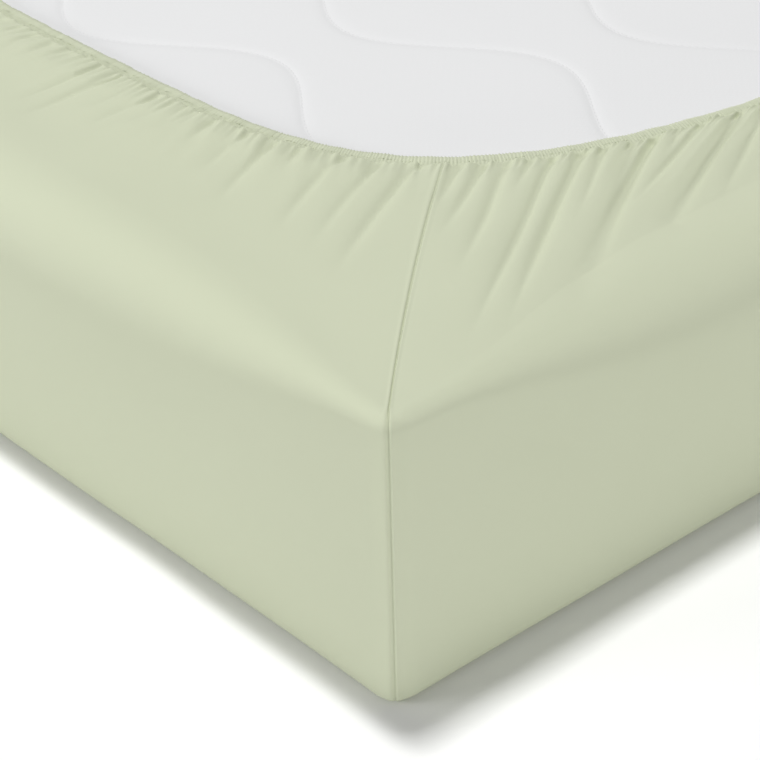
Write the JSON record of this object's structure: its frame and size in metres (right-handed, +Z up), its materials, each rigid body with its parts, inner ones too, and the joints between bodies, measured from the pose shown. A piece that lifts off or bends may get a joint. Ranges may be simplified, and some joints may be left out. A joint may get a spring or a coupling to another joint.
{
  "type": "fitted sheet on mattress",
  "caption": "Elastic-edged fitted sheet stretched over a single mattress that lies with its underside up, its gathered flange turned in over the quilted face.",
  "frame": {"origin": "middle of the flat face that rests on the ground, which is the sheet's sleeping face turned down", "axes": "+Z up out of the sheet's mouth, +Y along the mattress's length, +X across it"},
  "size_m": [1, 2, 0.2072],
  "materials": {
    "sheet_cloth": "fine plain-woven cotton, matt, soft sage green, creased",
    "elastic_edging": "narrow ribbed elastic, gathered, same green as the sheet",
    "mattress_ticking": "white knitted mattress cover, quilted in shallow waves, matt"
  },
  "bodies": {
    "root": {"fitted_sheet": "sheet_cloth", "elastic_edging": "elastic_edging", "mattress": "mattress_ticking"}
  },
  "joints": []
}
